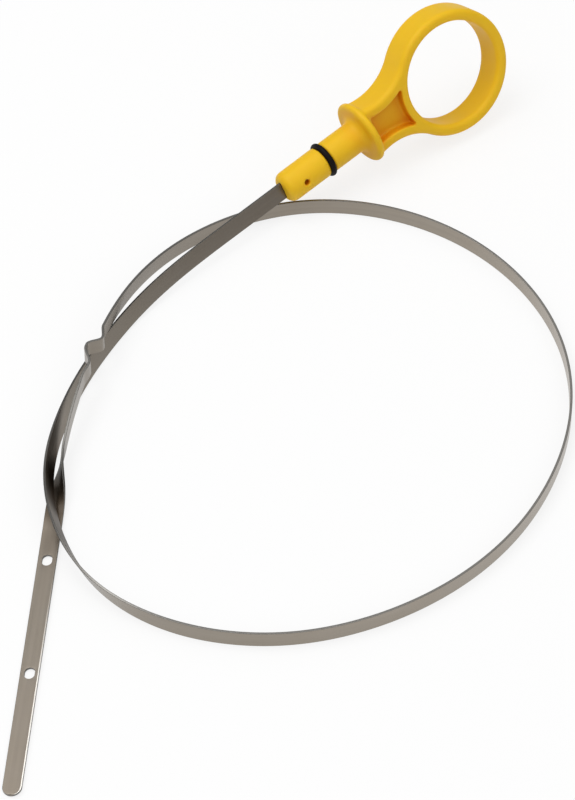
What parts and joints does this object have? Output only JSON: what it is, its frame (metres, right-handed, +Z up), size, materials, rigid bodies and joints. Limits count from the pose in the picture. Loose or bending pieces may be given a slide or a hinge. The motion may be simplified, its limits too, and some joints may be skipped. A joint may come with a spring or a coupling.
{
  "type": "engine oil dipstick",
  "caption": "Engine oil dipstick, coiled flat: finger-ring handle with stop flange, sealed stem and a long spring-steel blade with gauge holes.",
  "frame": {"origin": "on the floor, under the middle of the bounding box of the part as it lies coiled", "axes": "+Z up, +X to the right of the picture's viewer, +Y away from that viewer; the handle points to +X and +Y, the flat tail to -Y"},
  "size_m": [0.1741, 0.2953, 0.0429],
  "materials": {
    "handle_plastic": "yellow moulded plastic with a soft sheen",
    "seal_rubber": "black moulded rubber, slightly oily",
    "blade_steel": "rolled spring steel with a fine grain along its length and bright cut edges"
  },
  "bodies": {
    "root": {"handle": "handle_plastic", "o_ring": "seal_rubber", "blade": "blade_steel"}
  },
  "joints": []
}
